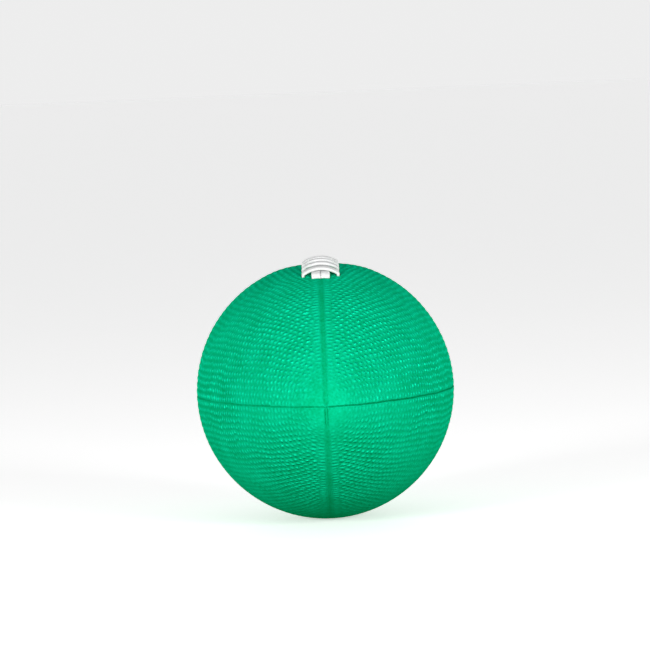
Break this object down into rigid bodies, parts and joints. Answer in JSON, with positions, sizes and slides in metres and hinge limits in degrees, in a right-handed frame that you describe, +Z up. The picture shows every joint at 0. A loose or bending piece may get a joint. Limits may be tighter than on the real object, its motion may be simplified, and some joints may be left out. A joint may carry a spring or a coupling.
{
  "type": "american football",
  "caption": "Small american football: pebbled green rubber panels on cloth linings, a white lace threaded along the top seam, and an air bladder with its valve inside.",
  "frame": {"origin": "on the ground under the middle of the ball, where the belly rests", "axes": "+Y along the ball from nose to nose, +Z up through the lace, +X across the ball"},
  "size_m": [0.13, 0.215, 0.1328],
  "materials": {
    "cover": "pebbled matt green rubber",
    "lace": "satin white",
    "lining": "plain woven cloth",
    "facing": "pressed felt",
    "bladder": "smooth black",
    "valve_core": "matt dark grey"
  },
  "bodies": {
    "root": {"panel_upper_left": "cover", "panel_upper_right": "cover", "panel_lower_left": "cover", "panel_lower_right": "cover", "lining_upper_left": "lining", "lining_upper_right": "lining", "lining_lower_left": "lining", "lining_lower_right": "lining", "lace_facing_left": "facing", "lace_facing_right": "facing", "tongue": "facing", "lace": "lace", "bladder": "bladder", "valve_body": "bladder", "valve_core": "valve_core"}
  },
  "joints": []
}
